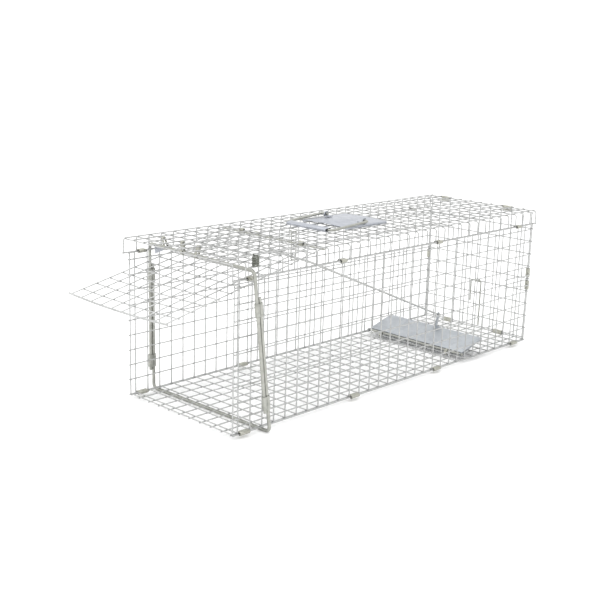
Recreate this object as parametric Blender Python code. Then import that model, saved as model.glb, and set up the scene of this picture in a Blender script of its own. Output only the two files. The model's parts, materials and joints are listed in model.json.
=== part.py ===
"""Live catch trap: a welded-wire cage with a drop door, a treadle and trigger rod, a front hoop and a carrying handle.

Built in millimetres from the cage's own datum (x across, y from the mouth to the rear, z up from the floor wires) and
hung from one empty, which carries it to its place in metres.
"""

from math import atan2, cos, hypot, pi, radians, sin

import bmesh
import bpy
from mathutils import Matrix, Vector

# ---- driving sizes, in millimetres and degrees ----
SQUARE = 25.4  # pitch of the welded mesh
CELLS_WIDE = 10
CELLS_LONG = 31
CELLS_HIGH = 10.4
WIRE = 2.4  # side of a mesh wire; each stands for two lighter wires, because every second wire is drawn
WELD = 0.7  # how far crossing wires sink into each other
GAP = 0.5  # clearance between pieces that only touch
EDGE_CELL = 0.4  # part cell left at the mouth of the floor and the side sheets
HEM_DEPTH = 0.95  # roof sheet lapped over the sides, in squares
HEM_BEND = 4.0

DOOR_CELLS = 9
DOOR_LENGTH = 12.7 * SQUARE
DOOR_OPEN = 12.7  # slope of the open door below level
DOOR_HINGE_CELL = 7.3
PIN_RADIUS = 1.6
TIP_REACH = 6.0  # the end wire sticks out this far past the door's last long wire

HOOP_RADIUS = 2.75
HOOP_STANDOFF = 13.6  # from the side mesh out to the hoop's legs
HOOP_FOOT_Z = -5.0
HOOP_FOOT_Y = {"near": 50.0, "far": 47.0}
HOOP_TOP_Y = {"near": 18.0, "far": 46.0}  # the hoop sits askew: its near leg leans forward
HOOP_DROP = {"near": 11.0, "far": 17.0}  # of the hoop's upper bar below the roof wires
SLEEVE_LENGTH = 22.0
SLEEVE_WALL = 0.9

FOOT_CELL = 23  # floor wire that carries the treadle's feet
AXLE_AHEAD = 3.3  # from that wire to the axle
AXLE_RADIUS = 2.0
EAR_RADIUS = 3.4
TREADLE_TILT = 15.2
TREADLE_HALF = 114.3
TREADLE_DEPTH = 66.2
TREADLE_FOOT_X = 81.3
SHEET = 1.5
EYE_Y = 655.0
EYE_Z = 52.0
ROD_RADIUS = 2.0

PLATE_HALF = 50.8
PLATE_FRONT = 312.4
PLATE_REAR = 422.9
BAIL_RADIUS = 2.25
BAIL_ARM = 93.8
BAIL_HALF = 54.5
BAIL_DROP = 6.2
HANDLE_RISE = 10.44  # from the roof's top wires to the bail's pivot
GRIP_WIDE = 15.0
GRIP_THICK = 6.4

CLIP_BORE = 2.2
CLIP_WALL = 0.9

# ---- sizes that follow from them ----
MM = 0.001
HALF_WIRE = WIRE / 2
STEP = WIRE - WELD
WIDTH = CELLS_WIDE * SQUARE
LENGTH = CELLS_LONG * SQUARE
ROOF_Z = CELLS_HIGH * SQUARE
SIDE_X = WIDTH / 2
SIDE_UPRIGHT_X = SIDE_X - STEP
FLOOR_EDGE_X = SIDE_UPRIGHT_X - HALF_WIRE - GAP - HALF_WIRE
SIDE_TOP_Z = ROOF_Z - HEM_DEPTH * SQUARE
HEM_X = SIDE_X + HALF_WIRE + GAP + HALF_WIRE
HEM_WIRE_X = HEM_X + STEP
ROOF_WIRE_Z = ROOF_Z + STEP
ROOF_TOP = ROOF_WIRE_Z + HALF_WIRE
ROOF_REAR_Y = LENGTH + 2.1
REAR_WIRE_Y = LENGTH + STEP
REAR_LOW_Z = STEP + HALF_WIRE + GAP + HALF_WIRE
REAR_TOP_Z = ROOF_Z - WIRE - 3 * GAP  # clear of the bend at the roof corners
CROSS_AT = [-EDGE_CELL * SQUARE] + [k * SQUARE for k in range(1, CELLS_LONG + 1, 2)]
ROOF_CROSS_AT = [(k - 0.7) * SQUARE for k in range(0, CELLS_LONG, 2)] + [ROOF_REAR_Y]
ROWS_AT = [k * SQUARE for k in range(0, 9, 2)]
INNER_WIRES = [-3 * SQUARE, -SQUARE, SQUARE, 3 * SQUARE]
HINGE_Y = DOOR_HINGE_CELL * SQUARE
HINGE_Z = ROOF_Z - HALF_WIRE - GAP - PIN_RADIUS
AXLE_Y = FOOT_CELL * SQUARE + AXLE_AHEAD
AXLE_Z = STEP + HALF_WIRE + EAR_RADIUS  # the ears turn just over the floor's cross wires
HOOP_LEG_X = SIDE_X + HOOP_STANDOFF
HOOP_BAR_Z = {side: ROOF_Z - drop for side, drop in HOOP_DROP.items()}
HANDLE_Y = (PLATE_FRONT + PLATE_REAR) / 2
HANDLE_Z = ROOF_TOP + HANDLE_RISE
FRONT_REACH = HINGE_Y - DOOR_LENGTH * cos(radians(DOOR_OPEN)) - PIN_RADIUS
REAR_REACH = ROOF_REAR_Y + CLIP_BORE + CLIP_WALL
ORIGIN_Y = (FRONT_REACH + REAR_REACH) / 2
ORIGIN_Z = HOOP_FOOT_Z - HOOP_RADIUS


def clear_scene():
    for obj in list(bpy.data.objects):
        bpy.data.objects.remove(obj, do_unlink=True)


def new_collection(name, hidden=False):
    made = bpy.data.collections.new(name)
    made.hide_render = hidden
    bpy.context.scene.collection.children.link(made)
    return made


def material(name, colour, roughness, metallic):
    made = bpy.data.materials.new(name)
    made.use_nodes = True
    shader = made.node_tree.nodes["Principled BSDF"]
    shader.inputs["Base Color"].default_value = (*colour, 1)
    shader.inputs["Roughness"].default_value = roughness
    shader.inputs["Metallic"].default_value = metallic
    return made


clear_scene()
TRAP = new_collection("live_catch_trap")
CUTTERS = new_collection("cutters", hidden=True)
MESH_WIRE = material("galvanised_mesh_wire", (0.66, 0.67, 0.66), 0.42, 1.0)
ROUND_BAR = material("galvanised_round_bar", (0.50, 0.51, 0.48), 0.45, 1.0)
ZINC_SHEET = material("zinc_sheet", (0.60, 0.62, 0.66), 0.38, 1.0)
CLIP_STEEL = material("clip_steel", (0.36, 0.36, 0.30), 0.5, 1.0)
SPRING_STEEL = material("spring_steel", (0.30, 0.31, 0.28), 0.4, 1.0)


def frame(name, y=0.0, z=0.0, turn=0.0, parent=None):
    """An empty on a joint's axis: it carries the pieces that move about that axis."""
    made = bpy.data.objects.new(name, None)
    made.empty_display_size = 0.02
    made.location = (0, y * MM, z * MM)
    made.rotation_euler = (radians(turn), 0, 0)
    made.parent = parent
    TRAP.objects.link(made)
    return made


DATUM = frame("trap_datum", -ORIGIN_Y, -ORIGIN_Z)
DOOR_FRAME = frame("door_hinge_axis", HINGE_Y, HINGE_Z, DOOR_OPEN, DATUM)
TREADLE_FRAME = frame("treadle_axle_axis", AXLE_Y, AXLE_Z, TREADLE_TILT, DATUM)
ROD_FRAME = frame("trigger_rod_axis", EYE_Y, EYE_Z, 0, DATUM)
HANDLE_FRAME = frame("handle_axis", HANDLE_Y, HANDLE_Z, atan2(BAIL_DROP, BAIL_ARM) * 180 / pi, DATUM)


def add(name, data, finish, parent=None, hidden=False):
    made = bpy.data.objects.new(name, data)
    if hidden:
        made.hide_render = True
        made.display_type = "WIRE"
    else:
        made.data.materials.append(finish)
    made.parent = parent or DATUM
    (CUTTERS if hidden else TRAP).objects.link(made)
    return made


def boxes(name, corners, finish=None, parent=None, hidden=False):
    """One mesh of separate boxes, each given by its low and its high corner."""
    bm = bmesh.new()
    for low, high in corners:
        low = Vector(low) * MM
        high = Vector(high) * MM
        size = high - low
        place = Matrix.Translation((low + high) / 2) @ Matrix.Diagonal((*size, 1))
        bmesh.ops.create_cube(bm, size=1, matrix=place)
    mesh = bpy.data.meshes.new(name)
    bm.to_mesh(mesh)
    bm.free()
    return add(name, mesh, finish, parent, hidden)


PLANES = {"x": (pi / 2, 0, pi / 2), "y": (pi / 2, 0, 0), "z": (0, 0, 0)}


def sheet(name, loops, thickness, axis, at, finish=None, parent=None, hidden=False):
    """Flat outlines with a thickness along axis: (y, z) points for x, (x, z) points for y, (x, y) points for z."""
    curve = bpy.data.curves.new(name, "CURVE")
    curve.dimensions = "2D"
    curve.fill_mode = "BOTH"
    curve.extrude = thickness / 2 * MM
    for loop in loops:
        spline = curve.splines.new("POLY")
        spline.points.add(len(loop) - 1)
        for point, (across, up) in zip(spline.points, loop):
            point.co = (across * MM, up * MM, 0, 1)
        spline.use_cyclic_u = True
    made = add(name, curve, finish, parent, hidden)
    made.rotation_euler = PLANES[axis]
    made.location = Vector(at) * MM
    return made


def to_mesh(obj):
    """The same piece as a mesh with its corners welded, so that a Boolean can use it."""
    bpy.context.view_layer.update()
    graph = bpy.context.evaluated_depsgraph_get()
    mesh = bpy.data.meshes.new_from_object(obj.evaluated_get(graph))
    bm = bmesh.new()
    bm.from_mesh(mesh)
    bmesh.ops.remove_doubles(bm, verts=bm.verts, dist=1e-6)
    bmesh.ops.recalc_face_normals(bm, faces=bm.faces)
    bm.to_mesh(mesh)
    bm.free()
    curve = obj.data
    name = obj.name
    hidden = obj.hide_render
    place = obj.location.copy()
    turn = obj.rotation_euler.copy()
    parent = obj.parent
    finish = curve.materials[0] if curve.materials else None
    bpy.data.objects.remove(obj, do_unlink=True)
    bpy.data.curves.remove(curve)
    mesh.name = name
    mesh.materials.clear()
    made = add(name, mesh, finish, parent, hidden)
    made.location = place
    made.rotation_euler = turn
    return made


def rod(name, points, radius, finish, parent=None, bend=0.0, bends=3, rounds=2):
    """Round bar through the points, with every corner turned on a bend of the given radius."""
    path = [Vector(p) for p in points]
    line = [path[0]]
    for before, here, after in zip(path, path[1:], path[2:]):
        into = (here - before).normalized()
        out = (after - here).normalized()
        angle = into.angle(out)
        reach = bend * abs(sin(angle / 2) / max(cos(angle / 2), 1e-6))
        if bend == 0 or angle < radians(4):
            line.append(here)
            continue
        start = here - into * reach
        centre = start + (out - into * into.dot(out)).normalized() * bend
        spoke = start - centre
        axis = into.cross(out).normalized()
        for k in range(bends + 1):
            line.append(centre + Matrix.Rotation(angle * k / bends, 3, axis) @ spoke)
    line.append(path[-1])
    curve = bpy.data.curves.new(name, "CURVE")
    curve.dimensions = "3D"
    curve.bevel_depth = radius * MM
    curve.bevel_resolution = rounds
    curve.use_fill_caps = True
    spline = curve.splines.new("POLY")
    spline.points.add(len(line) - 1)
    for point, place in zip(spline.points, line):
        point.co = (*(place * MM), 1)
    spline.use_smooth = True
    return add(name, curve, finish, parent)


def join(target, other, operation="UNION"):
    modifier = target.modifiers.new(other.name, "BOOLEAN")
    modifier.object = other
    modifier.operation = operation
    modifier.solver = "EXACT"


def bored(target, name, radius, at, length, parent=None):
    """Cuts a hole along x through the target."""
    bm = bmesh.new()
    bmesh.ops.create_cone(bm, cap_ends=True, segments=12, radius1=radius * MM, radius2=radius * MM, depth=length * MM)
    mesh = bpy.data.meshes.new(name)
    bm.to_mesh(mesh)
    bm.free()
    cutter = add(name, mesh, None, parent, hidden=True)
    cutter.rotation_euler = (0, pi / 2, 0)
    cutter.location = Vector(at) * MM
    join(target, cutter, "DIFFERENCE")


def band_loop(first, second, r_first, r_second, arcs=4):
    """Outline that wraps two circles, as a strap drawn tight round two wires."""
    away = atan2(second[1] - first[1], second[0] - first[0])
    apart = hypot(second[0] - first[0], second[1] - first[1])
    lean = (pi / 2) if apart == 0 else pi / 2 - atan2(r_second - r_first, apart)
    loop = []
    for centre, radius, start, end in (
        (second, r_second, away - (pi - lean), away + (pi - lean)),
        (first, r_first, away + (pi - lean), away + 2 * pi - (pi - lean)),
    ):
        for k in range(arcs + 1):
            angle = start + (end - start) * k / arcs
            loop.append((centre[0] + radius * cos(angle), centre[1] + radius * sin(angle)))
    return loop


def clip(name, first, second, axis, along, length, finish=CLIP_STEEL, bores=(CLIP_BORE, CLIP_BORE), wall=CLIP_WALL):
    """Crimped band round two neighbouring wires that run along axis."""
    place = {"x": (along, 0, 0), "y": (0, along, 0), "z": (0, 0, along)}[axis]
    outer = band_loop(first, second, bores[0] + wall, bores[1] + wall)
    inner = band_loop(first, second, bores[0], bores[1])
    return sheet(name, [outer, inner], length, axis, place, finish)


def bar(x, y, z):
    """Box of a square wire: each argument is either its middle or its two ends."""
    spans = [value if isinstance(value, tuple) else (value - HALF_WIRE, value + HALF_WIRE) for value in (x, y, z)]
    return tuple(s[0] for s in spans), tuple(s[1] for s in spans)


# ---- floor sheet ----
MOUTH_Y = CROSS_AT[0] - HALF_WIRE
SHEET_END_Y = LENGTH + HALF_WIRE
floor_long = [bar(x, (MOUTH_Y, SHEET_END_Y), 0.0) for x in [-FLOOR_EDGE_X, *INNER_WIRES, FLOOR_EDGE_X]]
floor_span = (-FLOOR_EDGE_X - HALF_WIRE, FLOOR_EDGE_X + HALF_WIRE)
floor_cross = [bar(floor_span, y, STEP) for y in CROSS_AT]
floor = boxes("floor_panel", floor_long, MESH_WIRE)
join(floor, boxes("floor_cross_wires", floor_cross, hidden=True))

# ---- side sheets ----
for side, sign in (("near", 1), ("far", -1)):
    long_wires = [bar(sign * SIDE_X, (MOUTH_Y, SHEET_END_Y), z) for z in [*ROWS_AT, SIDE_TOP_Z]]
    uprights = [bar(sign * SIDE_UPRIGHT_X, y, (-HALF_WIRE, SIDE_TOP_Z + HALF_WIRE)) for y in CROSS_AT]
    panel = boxes(f"side_panel_{side}", long_wires, MESH_WIRE)
    join(panel, boxes(f"side_uprights_{side}", uprights, hidden=True))

# ---- rear sheet ----
REAR_AT = [-FLOOR_EDGE_X, *INNER_WIRES, FLOOR_EDGE_X]
rear_rows = [bar(floor_span, REAR_WIRE_Y, z) for z in [REAR_LOW_Z, *ROWS_AT[1:], REAR_TOP_Z]]
rear_uprights = [bar(x, LENGTH, (REAR_LOW_Z - HALF_WIRE, REAR_TOP_Z + HALF_WIRE)) for x in REAR_AT]
rear = boxes("rear_panel", rear_rows, MESH_WIRE)
join(rear, boxes("rear_uprights", rear_uprights, hidden=True))


# ---- roof sheet, bent down over both sides ----
def roof_bow():
    """Outline of one bent cross wire of the roof."""
    flat = HEM_X - HEM_BEND
    foot = SIDE_TOP_Z - HALF_WIRE
    outer = []
    inner = []
    for radius, line in ((HEM_BEND + HALF_WIRE, outer), (HEM_BEND - HALF_WIRE, inner)):
        line.append((flat + radius, foot))
        for k in range(4):
            angle = pi / 2 * k / 3
            line.append((flat + radius * cos(angle), ROOF_Z - HEM_BEND + radius * sin(angle)))
    loop = outer + [(-x, z) for x, z in reversed(outer)]
    return loop + [(-x, z) for x, z in inner] + [(x, z) for x, z in reversed(inner)]


def roof_cross_wires():
    bow = to_mesh(sheet("roof_bow", [roof_bow()], WIRE, "y", (0, 0, 0), None, None, hidden=True))
    bm = bmesh.new()
    for y in ROOF_CROSS_AT:
        start = len(bm.verts)
        bm.from_mesh(bow.data)
        bm.verts.ensure_lookup_table()
        # The bow lies in its own x-y plane, with its thickness along -y of the cage.
        bmesh.ops.translate(bm, verts=bm.verts[start:], vec=(0, 0, -y * MM))
    mesh = bpy.data.meshes.new("roof_cross_wires")
    bm.to_mesh(mesh)
    bm.free()
    wires = add("roof_cross_wires", mesh, None, hidden=True)
    wires.rotation_euler = PLANES["y"]
    bpy.data.objects.remove(bow, do_unlink=True)
    return wires


ROOF_EDGE_X = HEM_X - HEM_BEND - HALF_WIRE
roof_span = (ROOF_CROSS_AT[0] - HALF_WIRE, ROOF_REAR_Y + HALF_WIRE)
roof_long = [bar(x, roof_span, ROOF_WIRE_Z) for x in [-ROOF_EDGE_X, *INNER_WIRES, ROOF_EDGE_X]]
roof_long += [bar(x, roof_span, SIDE_TOP_Z) for x in (-HEM_WIRE_X, HEM_WIRE_X)]
roof = boxes("roof_panel", roof_long, MESH_WIRE)
join(roof, roof_cross_wires())

# ---- drop door, drawn flat from its hinge wire and hung at the open slope ----
DOOR_HALF = DOOR_CELLS / 2 * SQUARE
door_reach = (-(DOOR_LENGTH - PIN_RADIUS - GAP), -(PIN_RADIUS + GAP))
door_long = [bar((k - DOOR_CELLS / 2) * SQUARE, door_reach, 0.0) for k in range(DOOR_CELLS + 1)]
door_cross_span = (-DOOR_HALF - HALF_WIRE, DOOR_HALF + HALF_WIRE)
door_cross = [bar(door_cross_span, -(k + 0.7) * SQUARE, -STEP) for k in range(12)]
door = boxes("door_panel", door_long, MESH_WIRE, DOOR_FRAME)
join(door, boxes("door_cross_wires", door_cross, parent=DOOR_FRAME, hidden=True))
TIP_X = DOOR_HALF + TIP_REACH
rod("door_hinge_wire", [(-TIP_X, 0, 0), (TIP_X, 0, 0)], PIN_RADIUS, ROUND_BAR, DOOR_FRAME)
rod("door_end_wire", [(-TIP_X, -DOOR_LENGTH, 0), (TIP_X, -DOOR_LENGTH, 0)], PIN_RADIUS, ROUND_BAR, DOOR_FRAME)
for side, sign in (("near", 1), ("far", -1)):
    clip(f"door_hinge_clip_{side}", (HINGE_Y, HINGE_Z), (HINGE_Y, ROOF_Z), "x", sign * 2.75 * SQUARE, 9.0)


# ---- front hoop: a U under the floor and an upturned U under the roof, lapped in four sleeves ----
def leg_y(side, z):
    up = (z - HOOP_FOOT_Z) / (HOOP_BAR_Z[side] - HOOP_FOOT_Z)
    return HOOP_FOOT_Y[side] + (HOOP_TOP_Y[side] - HOOP_FOOT_Y[side]) * up


def upper_bar(x):
    """Middle of the hoop's upper bar, as y and z."""
    along = (x + HOOP_LEG_X) / (2 * HOOP_LEG_X)
    y = HOOP_TOP_Y["far"] + (HOOP_TOP_Y["near"] - HOOP_TOP_Y["far"]) * along - HOOP_OFFSET
    return y, HOOP_BAR_Z["far"] + (HOOP_BAR_Z["near"] - HOOP_BAR_Z["far"]) * along


HOOP_OFFSET = HOOP_RADIUS + 0.25
LOWER_TOP_Z = 8.35 * SQUARE
UPPER_FOOT_Z = 1.1 * SQUARE


def hoop(name, end_z, bar_z, offset):
    path = []
    for side, sign in (("far", -1), ("near", 1)):
        ends = [(sign * HOOP_LEG_X, leg_y(side, z) + offset, z) for z in (end_z, bar_z[side])]
        path += ends if sign < 0 else ends[::-1]
    return rod(name, path, HOOP_RADIUS, ROUND_BAR, bend=7.0)


hoop("lower_hoop", LOWER_TOP_Z, {"near": HOOP_FOOT_Z, "far": HOOP_FOOT_Z}, HOOP_OFFSET)
hoop("upper_hoop", UPPER_FOOT_Z, HOOP_BAR_Z, -HOOP_OFFSET)

SLEEVE_BORE = HOOP_RADIUS + 0.5
for side, sign in (("near", 1), ("far", -1)):
    lean = (HOOP_FOOT_Y[side] - HOOP_TOP_Y[side]) / (HOOP_BAR_Z[side] - HOOP_FOOT_Z)
    for level, z in (("upper", 7.6 * SQUARE), ("lower", 1.75 * SQUARE)):
        bars = ((sign * HOOP_LEG_X, -HOOP_OFFSET), (sign * HOOP_LEG_X, HOOP_OFFSET))
        outer = band_loop(*bars, SLEEVE_BORE + SLEEVE_WALL, SLEEVE_BORE + SLEEVE_WALL)
        inner = band_loop(*bars, SLEEVE_BORE, SLEEVE_BORE)
        at = (0, leg_y(side, z), z)
        sleeve = sheet(f"hoop_sleeve_{side}_{level}", [outer, inner], SLEEVE_LENGTH, "z", at, CLIP_STEEL)
        sleeve.rotation_euler = (atan2(lean, 1), 0, 0)

GUSSET_OUT = SIDE_X - 4.6
GUSSET_IN = SIDE_X - 31.0
GUSSET_TOP = upper_bar(-GUSSET_OUT)[1] - HOOP_RADIUS - GAP
gusset = [(-GUSSET_OUT, GUSSET_TOP), (-GUSSET_OUT, GUSSET_TOP - 11.0), (-GUSSET_IN, GUSSET_TOP)]
sheet("hoop_gusset", [gusset], SHEET, "y", (0, upper_bar(-(GUSSET_OUT + GUSSET_IN) / 2)[0], 0), ZINC_SHEET)

for number, cell in enumerate((-3.6, -1.73, -0.19), 1):
    bar_at = upper_bar(cell * SQUARE)
    roof_at = (ROOF_CROSS_AT[1], ROOF_Z)
    bores = (HOOP_RADIUS + 0.6, CLIP_BORE)
    clip(f"hoop_hanger_{number}", bar_at, roof_at, "x", cell * SQUARE, 5.0, bores=bores)


def coil(name, x, y, low, turns, pitch, radius, wire):
    """Close-wound spring between the hoop's corner and the roof's edge, with a short tail at each end."""
    steps = 10
    path = [(x - radius, y, low - 2.2)]
    for k in range(turns * steps + 1):
        angle = pi + 2 * pi * k / steps
        path.append((x + radius * cos(angle), y + radius * sin(angle), low + pitch * k / steps))
    path.append((x - radius, y, low + pitch * turns + 2.2))
    return rod(name, path, wire, SPRING_STEEL, rounds=1)


coil("hoop_spring", HOOP_LEG_X - 1.6, HOOP_TOP_Y["near"], HOOP_BAR_Z["near"] + 6.5, 6, 2.6, 4.6, 1.1)


# ---- treadle ----
TREADLE_FRONT = AXLE_RADIUS + 2.4  # the front lip clears the feet that go round the axle
TREADLE_REAR = TREADLE_FRONT + TREADLE_DEPTH
TREADLE_TOP = 2.2
TREADLE_LIP = 6.4
TREADLE_FLANGE = 4.5


def treadle_plate():
    low = TREADLE_TOP - SHEET
    half = TREADLE_HALF
    front = TREADLE_FRONT
    rear = TREADLE_REAR
    edge = TREADLE_TOP - TREADLE_FLANGE
    plate = boxes("treadle_plate", [((-half, front, low), (half, rear, TREADLE_TOP))], ZINC_SHEET, TREADLE_FRAME)
    lips = [((-half, front, TREADLE_TOP - TREADLE_LIP), (half, front + SHEET, low + 0.6))]
    lips += [((-half, rear - SHEET, edge), (half, rear, low + 0.6))]
    for index, corners in enumerate(lips):
        join(plate, boxes(f"treadle_lip_{index}", [corners], parent=TREADLE_FRAME, hidden=True))
    nose = [(EAR_RADIUS * cos(a), EAR_RADIUS * sin(a)) for a in [radians(d) for d in range(120, 301, 30)]]
    ear = [*nose, (front + 6.0, edge), (rear, edge), (rear, TREADLE_TOP), (front, TREADLE_TOP)]
    for side, sign in (("near", 1), ("far", -1)):
        at = (sign * (half - SHEET / 2), 0, 0)
        join(plate, to_mesh(sheet(f"treadle_ear_{side}", [ear], SHEET, "x", at, None, TREADLE_FRAME, hidden=True)))
    bored(plate, "treadle_axle_hole", AXLE_RADIUS + 0.4, (0, 0, 0), 2 * half + 20, TREADLE_FRAME)


treadle_plate()
rod("treadle_axle", [(-TREADLE_HALF - 4, 0, 0), (TREADLE_HALF + 4, 0, 0)], AXLE_RADIUS, ROUND_BAR, TREADLE_FRAME)
for side, sign in (("near", 1), ("far", -1)):
    floor_wire = (FOOT_CELL * SQUARE, STEP)
    clip(f"treadle_foot_{side}", floor_wire, (AXLE_Y, AXLE_Z), "x", sign * TREADLE_FOOT_X, 5.0,
         bores=(CLIP_BORE, AXLE_RADIUS + 0.5), wall=1.1)

tilt = radians(TREADLE_TILT)
EYE_U = (EYE_Y - AXLE_Y) * cos(tilt) + (EYE_Z - AXLE_Z) * sin(tilt)
EYE_W = (EYE_Z - AXLE_Z) * cos(tilt) - (EYE_Y - AXLE_Y) * sin(tilt)


def treadle_arm():
    """Upright lever on the treadle: the trigger rod's bent end turns in its eye."""
    foot = TREADLE_TOP + GAP
    heel = TREADLE_REAR - 13.0
    toe = TREADLE_REAR - 2.0
    head = [(EYE_U + 4.2 * cos(a), EYE_W + 4.2 * sin(a)) for a in [radians(d) for d in (-20, 20, 60, 100, 140, 180)]]
    outline = [(heel + 3.0, foot), (toe, foot), *head]
    arm = to_mesh(sheet("treadle_arm", [outline], SHEET, "x", (7.0, 0, 0), ZINC_SHEET, TREADLE_FRAME))
    base = boxes("treadle_arm_foot", [((6.5, heel, foot), (18.0, toe, foot + SHEET))], None, TREADLE_FRAME, True)
    join(arm, base)
    bored(arm, "treadle_eye", ROD_RADIUS + 0.4, (7.0, EYE_U, EYE_W), 10, TREADLE_FRAME)


treadle_arm()

# ---- trigger rod, drawn from the treadle's eye ----
ROD_LINE = [(174.8, 252.6), (180.0, 250.0), (182.5, 244.5), (190.0, 239.5), (200.2, 235.5), (230.6, 224.5)]
ROD_LINE += [(281.0, 207.5), (EYE_Y, EYE_Z)]
rod_path = [(0, y - EYE_Y, z - EYE_Z) for y, z in ROD_LINE] + [(12.0, 0, 0)]
rod("trigger_rod", rod_path, ROD_RADIUS, ROUND_BAR, ROD_FRAME, bend=3.0)

GUIDE_Y = ROOF_CROSS_AT[5] + HALF_WIRE + GAP + 1.1
GUIDE_TOP = ROOF_Z + HALF_WIRE + GAP + 1.1
GUIDE_LOW = 216.8
guide = [(-5.4, GUIDE_Y - 6.5, GUIDE_TOP), (-5.4, GUIDE_Y, GUIDE_TOP), (-5.4, GUIDE_Y, GUIDE_LOW)]
guide += [(5.4, y, z) for _, y, z in reversed(guide)]
rod("trigger_rod_guide", guide, 1.1, ROUND_BAR, bend=2.0)

# ---- carrying handle ----
plate_low = ROOF_TOP + GAP
plate_edge = ROOF_TOP + 4.94
plate_crown = plate_edge + 1.5
half_plate = [(0, plate_crown), (PLATE_HALF - 1.5, plate_edge), (PLATE_HALF, plate_edge - 1.2), (PLATE_HALF, plate_low)]
under = [(PLATE_HALF - SHEET, plate_low), (PLATE_HALF - SHEET, plate_edge - 1.8), (0, plate_crown - SHEET)]
profile = half_plate + under + [(-x, z) for x, z in reversed(under[:-1])] + [(-x, z) for x, z in reversed(half_plate[1:])]
sheet("handle_plate", [profile], PLATE_REAR - PLATE_FRONT, "y", (0, HANDLE_Y, 0), ZINC_SHEET)

for side, sign in (("near", 1), ("far", -1)):
    seat = plate_crown + 0.1
    lug = [(34, seat), (46, seat), (46, seat + 8.9), (44.5, seat + 8.9), (44.5, seat + SHEET), (34, seat + SHEET)]
    outline = [(sign * x, z) for x, z in lug]
    ear = to_mesh(sheet(f"handle_lug_{side}", [outline], 12.0, "y", (0, HANDLE_Y, 0), ZINC_SHEET))
    bored(ear, f"handle_lug_hole_{side}", BAIL_RADIUS + 0.4, (sign * 45.2, HANDLE_Y, HANDLE_Z), 10)

bail = [(41.0, 0, 0), (BAIL_HALF, 0, 0), (BAIL_HALF, -BAIL_ARM, 0)]
bail += [(-x, y, z) for x, y, z in reversed(bail)]
rod("handle_bail", bail, BAIL_RADIUS, ROUND_BAR, HANDLE_FRAME, bend=5.0)

GRIP_CORE = (GRIP_WIDE - GRIP_THICK) / 2
grip_outer = band_loop((-BAIL_ARM - GRIP_CORE, 0), (-BAIL_ARM + GRIP_CORE, 0), GRIP_THICK / 2, GRIP_THICK / 2)
bore = BAIL_RADIUS + 0.4
grip_bore = [(-BAIL_ARM + bore * cos(pi / 5 * k), bore * sin(pi / 5 * k)) for k in range(10)]
sheet("handle_grip", [grip_outer, grip_bore], 92.0, "x", (0, 0, 0), ZINC_SHEET, HANDLE_FRAME)

# ---- rear wires ----
TIE_X = SIDE_X + HALF_WIRE + GAP + 1.4
for number, start_z, end_z in ((1, 137.6, 136.2), (2, 121.0, 115.5)):
    rod(f"rear_tie_wire_{number}", [(TIE_X, 698.0, start_z), (TIE_X, 785.0, end_z)], 1.3, MESH_WIRE)
HOOK_Y = LENGTH - HALF_WIRE - 4.0
bait = [(-6.4, HOOK_Y, 58.0), (-6.4, HOOK_Y, 103.5), (18.0, HOOK_Y, 103.5), (18.0, HOOK_Y, 9.0)]
rod("bait_hook", bait, 1.5, ROUND_BAR, bend=4.0)
clip("bait_hook_clip", (HOOK_Y, 103.5), (REAR_WIRE_Y, 4 * SQUARE), "x", 7.0, 6.0)

# ---- seam clips ----
for side, sign in (("near", 1), ("far", -1)):
    hem_at = {"near": (0.65, 8.65, 18.65, 28.65), "far": (0.65, 10.65, 20.65, 28.65)}[side]
    floor_at = {"near": (0.5, 10.5, 19.5, 29.5), "far": (0.5, 9.5, 24.5)}[side]
    edge_at = {"near": (4.5, 5.5), "far": (5.5,)}[side]
    for number, cell in enumerate(hem_at, 1):
        ends = ((sign * SIDE_X, SIDE_TOP_Z), (sign * HEM_WIRE_X, SIDE_TOP_Z))
        clip(f"hem_clip_{side}_{number}", *ends, "y", cell * SQUARE, 0.54 * SQUARE)
    for number, cell in enumerate(floor_at, 1):
        ends = ((sign * FLOOR_EDGE_X, 0.0), (sign * SIDE_X, 0.0))
        clip(f"floor_clip_{side}_{number}", *ends, "y", cell * SQUARE, 0.8 * SQUARE)
    for number, cell in enumerate(edge_at, 1):
        ends = ((sign * FLOOR_EDGE_X, LENGTH), (sign * SIDE_UPRIGHT_X, LENGTH))
        clip(f"rear_edge_clip_{side}_{number}", *ends, "z", cell * SQUARE, 0.7 * SQUARE)
    x = sign * 2.5 * SQUARE
    clip(f"rear_foot_clip_{side}", (LENGTH, STEP), (REAR_WIRE_Y, REAR_LOW_Z), "x", x, 0.8 * SQUARE)
for side, cell in (("near", 2.5), ("far", -3.5)):
    clip(f"rear_top_clip_{side}", (REAR_WIRE_Y, REAR_TOP_Z), (ROOF_REAR_Y, ROOF_Z), "x", cell * SQUARE, 0.8 * SQUARE)
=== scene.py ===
"""Live catch trap: the looks of its cage, drop door, front hoop, treadle, trigger rod and handle."""

import json
from math import atan2, cos, hypot, pi, radians, sin, tan

import bmesh
import bpy
from mathutils import Matrix, Vector


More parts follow.
